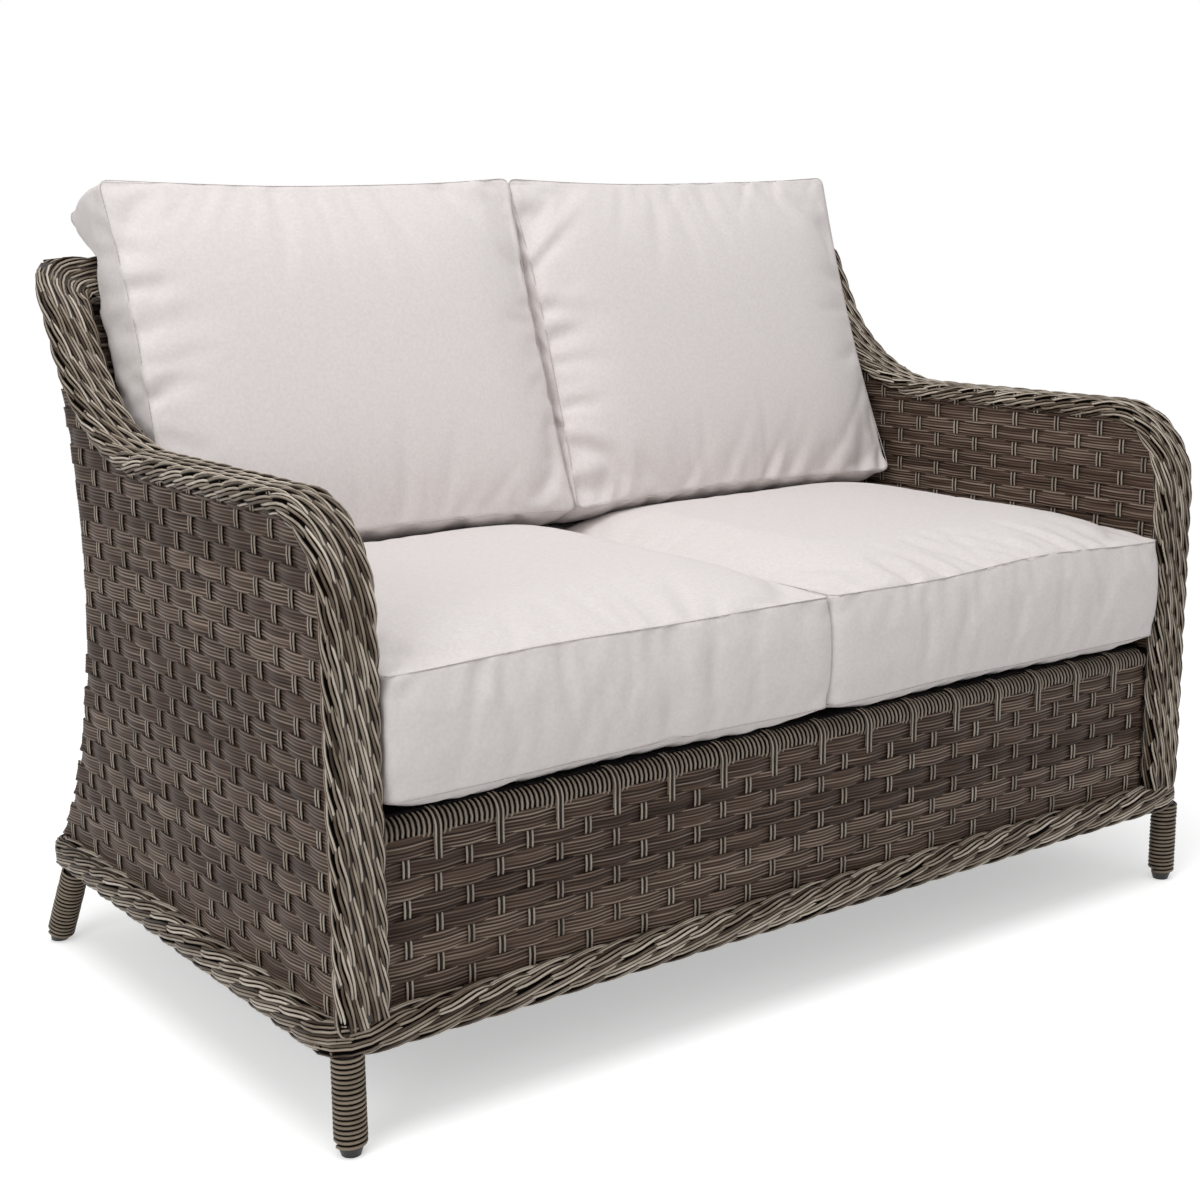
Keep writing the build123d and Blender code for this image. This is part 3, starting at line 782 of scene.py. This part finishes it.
def half_braid_place(distance, point, normal):
    """The left half: up the arm, round the corner and across. The section's first axis is its outer side."""
    if distance <= arm_long:
        line, out = arm_line(distance)
        return ((-arm_mid - point.x, line.x + out.x * point.y, line.y + out.y * point.y),
                (-normal.x, out.x * normal.y, out.y * normal.y))
    out = Vector((-slope.y, slope.x))
    reach = point.x + braid_wide / 2
    if distance <= arm_long + corner_long:
        angle = (distance - arm_long) / corner_long * pi / 2
        reach *= corner_share(angle)
        x, lean = -arm_inner - reach * cos(angle), Vector((-cos(angle), sin(angle)))
        up = reach * sin(angle)
    else:
        x, lean = -arm_inner + distance - arm_long - corner_long, Vector((0, 1))
        up = reach
    where = pivot + slope * up + out * point.y
    return ((x, where.x, where.y),
            (lean.x * normal.x, slope.x * lean.y * normal.x + out.x * normal.y,
             slope.y * lean.y * normal.x + out.y * normal.y))


def arm_place(distance, point, normal):
    if distance <= half_long:
        return half_braid_place(distance, point, normal)
    where, out = half_braid_place(2 * half_long - distance, point, normal)
    return (-where[0], where[1], where[2]), (-out[0], out[1], out[2])


arm_oblong = (braid_wide - 2 * core_inset, braid_thick - 2 * core_inset, 0.008)
arm_spans = {"arm_braid_left": (0, arm_long + corner_long),
             "back_top_braid": (arm_long + corner_long, 2 * half_long - arm_long - corner_long),
             "arm_braid_right": (2 * half_long - arm_long - corner_long, 2 * half_long)}
for node, (start, end) in arm_spans.items():
    core = core_piece(f"{node}_core", arm_place, arm_oblong, start, end, arm_core_step, braid_gap_shade)
    start -= tucked if node.endswith("left") else 0
    end += tucked if node.endswith("right") else 0
    braid = braid_piece(f"{node}_strands", arm_place, arm_oblong, -1, start, end, arm_columns, arm_pitch,
                        *arm_leaf, (2, 3))
    for piece in (core, braid):
        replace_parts(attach(piece, "frame"), node)

# Seat deck: black polypropylene webbing, stapled over the front and rear rails and crossed by shorter straps
# underneath. Each strap has a fine ribbed weave along its length. The real straps hang a little between the
# rails; here they are laid flat.
webbing, tree, shader = new_material("webbing", 0.85, 0.1)
rib = noise(tree, (1100, 60, 60), 1.0, 1.0)
tint(tree, shader, rib, [(0.35, (14, 12, 12)), (0.65, (30, 27, 27))])
bump(tree, shader, rib, 0.0006)
dress("seat_cross_straps", webbing)
belt_low, belt_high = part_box("seat_straps")
belt_count = 12
belt_wide = 0.096
belt_thick = 0.002
belt_stations = 15
belt_pitch = (belt_high.x - belt_low.x) / (belt_count - 1)
belt_section = np.array([(-belt_wide, -belt_thick), (belt_wide, -belt_thick), (belt_wide, belt_thick),
                         (-belt_wide, belt_thick)]) / 2
front_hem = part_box("seat_rail_winding")[1].y + belt_thick
rear_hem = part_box("seat_rail_rear")[0].y - belt_thick
belt_run = np.linspace(belt_low.y, belt_high.y, belt_stations)
belt_top = belt_high.z - belt_thick / 2


def belt(line, out):
    count = len(line)
    return lofted(np.array(line), np.tile([(1.0, 0.0, 0.0)], (count, 1)), np.tile([out], (count, 1)),
                  belt_section, np.ones(4))


belts = []
for n in range(belt_count):
    x = belt_low.x + n * belt_pitch
    belts.append(belt([(x, y, belt_top) for y in belt_run], (0.0, 0.0, 1.0)))
    for hem in (front_hem, rear_hem):
        belts.append(belt([(x, hem, belt_low.z), (x, hem, belt_top)], (0.0, 1.0, 0.0)))
belt_piece = mesh_piece("seat_webbing", belts, np.zeros(len(belts)), webbing)
belt_piece.data.shade_flat()
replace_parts(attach(belt_piece, "frame"), "seat_straps")

# Cushions: foam wrapped in fibre inside a boxed cover, sewn from two panels and a strip round the sides. The
# cover is a little larger than its filling, so it swells between the seams and puckers along them. Nothing
# fastens them: the seat pair lies on the webbing and the back pair stands on it.
cushion_cell = 0.0095
cover_spare = 0.02
swell_frames = 20
swell_pressure = 4.0
seam_line_radius = 0.0005
seam_sides = 5
strip_bulge = 0.004
seam_wander = 0.0012
seat_low, seat_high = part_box("seat_cushion_right")
seat_seams = (0.350, 0.478)
seat_corner = 0.014
seat_draw = 0.003
seat_crown, seat_belly, seat_swell = 0.022, 0.020, 0.020
seat_proud = 0.007
seat_front_proud = 0.008
seat_side_clear, seat_rear_clear = 0.0004, 0.0003
back_low, back_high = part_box("back_cushion_right")
back_base = Vector((0.119, 0.516))
back_lean = radians(19.6)
back_long = 0.456
back_boxing = 0.105
back_corner_round = 0.011
back_draw = 0.009
back_crown, back_belly, back_swell = 0.014, 0.004, 0.018
back_side_proud = 0.004
stile_depth = 0.0188
rail_front = 0.2857
rail_over = 0.8600
ear_slope = 2.2
stile_top = 0.795
foot_zone = 0.54
foot_gap = 0.0006
above_seat = 0.7
back_limit = back_high.y - 0.006


def ease_corners(x, y, half_x, half_y, corner):
    """Bend the corners of a square grid on to round ones."""
    a = np.clip((np.abs(x) - (half_x - corner)) / corner, 0, 1)
    b = np.clip((np.abs(y) - (half_y - corner)) / corner, 0, 1)
    bent_x = np.where(a > 0, half_x - corner + corner * a * np.sqrt(1 - b ** 2 / 2), np.abs(x))
    bent_y = np.where(b > 0, half_y - corner + corner * b * np.sqrt(1 - a ** 2 / 2), np.abs(y))
    return np.sign(x) * bent_x, np.sign(y) * bent_y


def cover_mesh(name, half_x, half_y, tall, corner, draw, crown, belly, wander):
    """A boxed cover lying flat: two square grids joined by rows round the sides. Seams are loops of edges."""
    across = int(2 * half_x / cushion_cell)
    along = int(2 * half_y / cushion_cell)
    up = int(tall / cushion_cell)
    u, v = np.meshgrid(np.linspace(-1, 1, across + 1), np.linspace(-1, 1, along + 1), indexing="ij")
    x, y = ease_corners(u * half_x, v * half_y, half_x, half_y, corner)
    x, y = x * (1 - draw / half_x * (1 - v ** 2)), y * (1 - draw / half_y * (1 - u ** 2))
    dome = (1 - u ** 6) * (1 - v ** 4)
    sag = (1 - u ** 14) * (1 - v ** 14)
    top = np.stack([x, y, tall + crown * dome], -1).reshape(-1, 3)
    bottom = np.stack([x, y, -belly * sag], -1).reshape(-1, 3)
    index = np.arange(top.shape[0]).reshape(across + 1, along + 1)
    rim = np.concatenate([index[:-1, 0], index[-1, :-1], index[:0:-1, -1], index[0, :0:-1]])
    count, corners = len(rim), [top, bottom]
    phase = np.arange(count) * 2 * pi / count
    sway = sum(dice.normal(0, wander / 2) * np.sin(n * phase + dice.uniform(0, 2 * pi)) for n in range(2, 9))
    top[rim, 2] += sway
    bottom[rim, 2] += np.maximum(np.roll(sway, count // 3), 0)
    outward = unit(np.stack([top[rim, 0] / half_x, top[rim, 1] / half_y, np.zeros(count)], -1))
    for row in range(1, up):
        share = row / up
        bulge = outward * strip_bulge * sin(pi * share)
        corners.append(bottom[rim] * (1 - share) + top[rim] * share + bulge)
    faces = []
    square = np.stack([index[:-1, :-1], index[1:, :-1], index[1:, 1:], index[:-1, 1:]], -1).reshape(-1, 4)
    faces += square.tolist() + (square[:, ::-1] + len(top)).tolist()
    between = [2 * len(top) + row * count + np.arange(count) for row in range(up - 1)]
    loops = [rim + len(top)] + between + [rim]
    for low, high in zip(loops, loops[1:]):
        faces += np.stack([low, np.roll(low, -1), np.roll(high, -1), high], -1).tolist()
    mesh = bpy.data.meshes.new(name)
    mesh.from_pydata(np.concatenate(corners).tolist(), [], faces)
    return mesh, (rim, rim + len(top))


def read_points(data, name):
    """The places or directions of a mesh's points, one row each."""
    flat = np.empty(len(data) * 3)
    data.foreach_get(name, flat)
    return flat.reshape(-1, 3)


def swell(piece, seams, limit):
    """Blow the cover up against its seams, and keep every point within a limit of where it was."""
    flat = read_points(piece.data.vertices, "co")
    group = piece.vertex_groups.new(name="seams")
    group.add([int(n) for loop in seams for n in loop], 1.0, "REPLACE")
    cloth = piece.modifiers.new("cover", "CLOTH")
    settings = cloth.settings
    settings.quality = 6
    settings.mass = 0.25
    settings.tension_stiffness = settings.compression_stiffness = 18
    settings.shear_stiffness = 8
    settings.bending_stiffness = 0.4
    settings.shrink_min = -cover_spare
    settings.use_pressure = True
    settings.uniform_pressure_force = swell_pressure
    settings.vertex_group_mass = "seams"
    settings.pin_stiffness = 1.0
    settings.effector_weights.gravity = 0
    cloth.point_cache.frame_start = 1
    cloth.point_cache.frame_end = swell_frames
    for frame_number in range(1, swell_frames + 1):
        bpy.context.scene.frame_set(frame_number)
    shape = piece.evaluated_get(bpy.context.evaluated_depsgraph_get()).data
    moved = read_points(shape.vertices, "co") - flat
    far = np.linalg.norm(moved, axis=1, keepdims=True)
    moved *= limit * np.tanh(far / limit) / np.maximum(far, 1e-9)
    piece.modifiers.remove(cloth)
    bpy.context.scene.frame_set(1)
    return flat, flat + moved


def subdivided(piece, mesh, seams, flat, shape):
    """One subdivision with sharp seams. The flat cover's places are carried along for the puckers."""
    mesh.vertices.foreach_set("co", shape.ravel())
    carried = mesh.attributes.new("flat", "FLOAT_VECTOR", "POINT")
    carried.data.foreach_set("vector", flat.ravel().astype(np.float32))
    sewn = {tuple(sorted((int(a), int(b)))) for loop in seams for a, b in zip(loop, np.roll(loop, -1))}
    sharp = mesh.attributes.new("crease_edge", "FLOAT", "EDGE")
    for edge in mesh.edges:
        if tuple(sorted(edge.vertices)) in sewn:
            sharp.data[edge.index].value = 1.0
    piece.modifiers.new("smooth", "SUBSURF").levels = 1
    fine = bpy.data.meshes.new_from_object(piece.evaluated_get(bpy.context.evaluated_depsgraph_get()))
    fine.name = piece.name
    piece.modifiers.clear()
    piece.vertex_groups.clear()
    piece.data = fine
    return (read_points(fine.vertices, "co"), read_points(fine.attributes["flat"].data, "vector"),
            read_points(fine.vertex_normals, "vector"))


strip_near = 0.02
seam_near = 0.0005
tuck_span = 0.92
seam_hold = 0.005


def puckers(flats, half_x, half_y, tall, tucks):
    """How deep the cover folds in at each point. tucks are rows of (side, how many, depth, reach, slant)."""
    depth = np.zeros(len(flats))
    x, y, z = flats.T
    on_top = z > tall - seam_near
    on_side = (z > seam_near) & ~on_top
    ways = {"left": (half_x + x, y, half_y), "right": (half_x - x, y, half_y),
            "low": (half_y + y, x, half_x), "high": (half_y - y, x, half_x)}
    for side, number, deep, reach, slant in tucks:
        away, where, half = ways[side.split()[0]]
        area = on_side & (away < strip_near) if side.endswith("strip") else on_top
        inwards = np.clip(tall - z, 0, None) if side.endswith("strip") else away
        evenly = np.linspace(-tuck_span, tuck_span, number) * half
        for spot in evenly + dice.normal(0, half * 0.6 / number, number):
            wide = dice.uniform(0.007, 0.013)
            long = reach * dice.uniform(0.5, 1.3)
            lean = slant + dice.normal(0, 0.25)
            fold = np.exp(-((where - spot - lean * inwards) / (wide * (1 + 8 * inwards))) ** 2)
            fold -= 0.5 * np.exp(-((where - spot - lean * inwards - 2.1 * wide) / (1.3 * wide)) ** 2)
            run = (1 - np.exp(-inwards / seam_hold)) * np.exp(-(inwards / long) ** 2)
            depth += np.where(area, deep * dice.uniform(0.3, 1.2) * fold * run, 0)
    return depth


def sewn_line(loop, shape):
    """The subdivided seam: a smooth closed line through its loop of points."""
    dots = shape[loop]
    mid = (dots + np.roll(dots, -1, axis=0)) / 2
    eased = (np.roll(dots, 1, axis=0) + 6 * dots + np.roll(dots, -1, axis=0)) / 8
    return np.stack([eased, mid], 1).reshape(-1, 3)


cover_fabric, tree, shader = new_material("cover_fabric", 0.85, 0.2)
shader.inputs["Sheen Weight"].default_value = 0.12
shader.inputs["Sheen Roughness"].default_value = 0.5
slub = noise(tree, (240, 240, 240), 1.0, 3.0)
thread = noise(tree, (1400, 1400, 1400), 1.0, 1.0)
tint(tree, shader, slub, [(0.3, (217, 210, 208)), (0.7, (225, 219, 217))])
bump(tree, shader, thread, 0.0003, 0.5)
# The seam lines: the line of each seam, painted a little darker than the cover as the shade in its groove.
seam_shade, tree, shader = new_material("seam_shade", 0.9, 0.1)
seam_shade_mottle = noise(tree, (900, 900, 900))
tint(tree, shader, seam_shade_mottle, [(0.4, (178, 169, 166)), (0.6, (206, 199, 196))])


def cushion(name, node, half_x, half_y, tall, corner, draw, crown, belly, limit, tucks, place, keep):
    """A finished cushion. place turns flat points into the object's frame, keep holds them in their room."""
    mesh, seams = cover_mesh(name, half_x, half_y, tall, corner, draw, crown, belly, seam_wander)
    piece = add_object(name, mesh)
    flat, shape = swell(piece, seams, limit)
    lines = [sewn_line(loop, shape) for loop in seams]
    places, flats, normals = subdivided(piece, mesh, seams, flat, shape)
    places -= normals * puckers(flats, half_x, half_y, tall, tucks)[:, None]
    piece.data.vertices.foreach_set("co", keep(place(places)).astype(np.float32).ravel())
    piece.data.update()
    piece.data.shade_smooth()
    piece.data.materials.append(cover_fabric)
    # A thin tube along each seam carries that painted shade.
    seam_shade_lines = []
    for line in lines:
        line = keep(place(np.concatenate([line, line[:1]])))
        away = unit(line - line.mean(axis=0))
        seam_shade_lines.append(tube(line + away * seam_line_radius / 2, away, seam_line_radius, seam_sides))
    seam = mesh_piece(f"{name}_seams", seam_shade_lines, [0.5, 0.5], seam_shade)
    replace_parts(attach(piece, node), node)
    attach(seam, node)
    return piece


seat_half_x = (seat_high.x - seat_low.x) / 2
seat_half_y = (seat_high.y - seat_low.y) / 2
panel_tucks = [("high", 5, 0.001, 0.04, 0.0), ("right", 5, 0.0014, 0.05, 0.3), ("left", 5, 0.0014, 0.05, 0.3)]
strip_tucks = [("right strip", 4, 0.0016, 0.08, 0.0), ("left strip", 4, 0.0016, 0.08, 0.0)]
front_tucks = {"left": (("low", 9, 0.0030, 0.050, 0.5), ("low strip", 7, 0.0040, 0.10, 0.15)),
               "right": (("low", 13, 0.0056, 0.065, -0.6), ("low strip", 7, 0.0016, 0.08, 0.1))}
seat_pieces = {}
for side, sign in (("left", -1), ("right", 1)):
    def seat_place(points, sign=sign):
        middle = np.array([sign * (seat_low.x + seat_half_x), seat_low.y + seat_half_y, seat_seams[0]])
        return points + middle

    def seat_keep(points, sign=sign):
        points[:, 0] = sign * np.clip(sign * points[:, 0], seat_low.x, seat_high.x - seat_side_clear)
        points[:, 1] = np.clip(points[:, 1], seat_low.y - seat_front_proud, seat_high.y - seat_rear_clear)
        points[:, 2] = np.clip(points[:, 2], seat_low.z + hair, seat_high.z + seat_proud)
        return points

    along_edge, along_strip = front_tucks[side]
    seat_tucks = [along_edge] + panel_tucks + [along_strip] + strip_tucks
    seat_pieces[side] = cushion(f"seat_cover_{side}", f"seat_cushion_{side}", seat_half_x, seat_half_y,
                                seat_seams[1] - seat_seams[0], seat_corner, seat_draw, seat_crown, seat_belly,
                                seat_swell, seat_tucks, seat_place, seat_keep)

back_half_x = (back_high.x - back_low.x) / 2
back_tucks = {"left": [("left", 8, 0.0046, 0.060, 0.1), ("high", 12, 0.0034, 0.045, 0.7),
                       ("right", 10, 0.002, 0.04, 0.0), ("low", 7, 0.0022, 0.035, 0.2),
                       ("left strip", 6, 0.002, 0.05, 0.1), ("low strip", 9, 0.003, 0.05, 0.4)],
              "right": [("left", 11, 0.0064, 0.055, 0.2), ("high", 9, 0.003, 0.045, -0.6),
                        ("right", 5, 0.0014, 0.04, 0.0), ("low", 12, 0.0050, 0.065, 0.5),
                        ("left strip", 7, 0.003, 0.05, 0.2), ("low strip", 10, 0.0034, 0.05, 0.4),
                        ("right strip", 6, 0.002, 0.05, 0.0)]}
for side, sign in (("left", -1), ("right", 1)):
    below = BVHTree.FromObject(seat_pieces[side], bpy.context.evaluated_depsgraph_get())

    def back_place_cover(points, sign=sign):
        up = np.array([0.0, sin(back_lean), cos(back_lean)])
        out = np.array([0.0, -cos(back_lean), sin(back_lean)])
        base = np.array([sign * (back_low.x + back_half_x), back_base.x, back_base.y])
        return (base + np.outer(points[:, 0], (1.0, 0.0, 0.0)) + np.outer(points[:, 1] + back_long / 2, up)
                + np.outer(points[:, 2] - back_boxing, out))

    def back_keep(points, sign=sign, below=below):
        points[:, 0] = sign * np.clip(sign * points[:, 0], back_low.x, back_high.x + back_side_proud)
        for point in points:
            limit = rail_front + max(point[2] - rail_over, 0) * ear_slope
            if point[2] < stile_top:
                limit = back_y(point[2]) - stile_depth
            point[1] = min(point[1], limit, back_limit)
            if point[2] < foot_zone:
                hit = below.ray_cast(Vector((point[0], point[1], above_seat)), Vector((0, 0, -1)))[0]
                if hit is not None and point[2] < hit.z + foot_gap:
                    point[2] = hit.z + foot_gap
        return points

    cushion(f"back_cover_{side}", f"back_cushion_{side}", back_half_x, back_long / 2, back_boxing,
            back_corner_round, back_draw, back_crown, back_belly, back_swell, back_tucks[side],
            back_place_cover, back_keep)

# Floor and light: a plain pale floor that keeps the shadow near the object and fades into a white surround
# further out, under two broad soft lamps and an even glow from all round.
floor_reach = 6.0
floor_fade = (1.4, 2.6)
floor_white = 0.45
surround_level = 0.47
bpy.ops.mesh.primitive_grid_add(x_subdivisions=4, y_subdivisions=4, size=2 * floor_reach, location=(0, 0, 0))
floor = bpy.context.object
floor.name = "floor"


def background_ray(tree):
    """1 where the background shows white: straight to the camera, mirrored or through something clear."""
    seen = add_node(tree, "LightPath")
    value = seen.outputs["Is Camera Ray"]
    for other in ("Is Glossy Ray", "Is Transmission Ray"):
        either = add_node(tree, "Math")
        either.operation = "MAXIMUM"
        link(tree, value, either.inputs[0])
        link(tree, seen.outputs[other], either.inputs[1])
        value = either.outputs[0]
    return value


floor_paint, tree, shader = new_material("floor_paint", 0.9, 0.0)
shader.inputs["Base Color"].default_value = (0.95, 0.95, 0.95, 1)
glow = add_node(tree, "Emission")
bright = add_node(tree, "Math")
bright.operation = "MULTIPLY"
bright.inputs[1].default_value = floor_white
link(tree, background_ray(tree), bright.inputs[0])
link(tree, bright.outputs[0], glow.inputs["Strength"])
lit = add_node(tree, "AddShader")
link(tree, shader.outputs[0], lit.inputs[0])
link(tree, glow.outputs[0], lit.inputs[1])
from_middle = add_node(tree, "VectorMath")
from_middle.operation = "LENGTH"
link(tree, object_place(tree, (1, 1, 1)), from_middle.inputs[0])
fade = add_node(tree, "MapRange", From_Min=floor_fade[0], From_Max=floor_fade[1])
fade.interpolation_type = "SMOOTHSTEP"
link(tree, from_middle.outputs["Value"], fade.inputs["Value"])
away = add_node(tree, "MixShader")
link(tree, fade.outputs["Result"], away.inputs["Fac"])
link(tree, lit.outputs[0], away.inputs[1])
link(tree, add_node(tree, "BsdfTransparent").outputs[0], away.inputs[2])
link(tree, away.outputs[0], tree.nodes["Material Output"].inputs["Surface"])
floor.data.materials.append(floor_paint)

world = bpy.data.worlds.new("surround")
bpy.context.scene.world = world
world.use_nodes = True
tree = world.node_tree
tree.nodes.clear()
surround = add_node(tree, "Background", Color=(1, 1, 1, 1), Strength=surround_level)
white = add_node(tree, "Background", Color=(1, 1, 1, 1))
mix = add_node(tree, "MixShader")
output = add_node(tree, "OutputWorld")
link(tree, background_ray(tree), mix.inputs["Fac"])
link(tree, surround.outputs[0], mix.inputs[1])
link(tree, white.outputs[0], mix.inputs[2])
link(tree, mix.outputs[0], output.inputs["Surface"])


def soft_lamp(name, place, target, size, power):
    lamp = add_object(name, bpy.data.lights.new(name, "AREA"))
    lamp.data.shape = "DISK"
    lamp.data.size = size
    lamp.data.energy = power
    lamp.location = place
    lamp.rotation_euler = (Vector(target) - Vector(place)).to_track_quat("-Z", "Y").to_euler()


soft_lamp("lamp_over", (-0.6, -0.6, 3.2), (0, 0, 0.4), 2.4, 50)
soft_lamp("lamp_left", (-3.1, -1.5, 1.7), (0, 0, 0.4), 1.8, 24)
bpy.context.scene.view_settings.view_transform = "Standard"
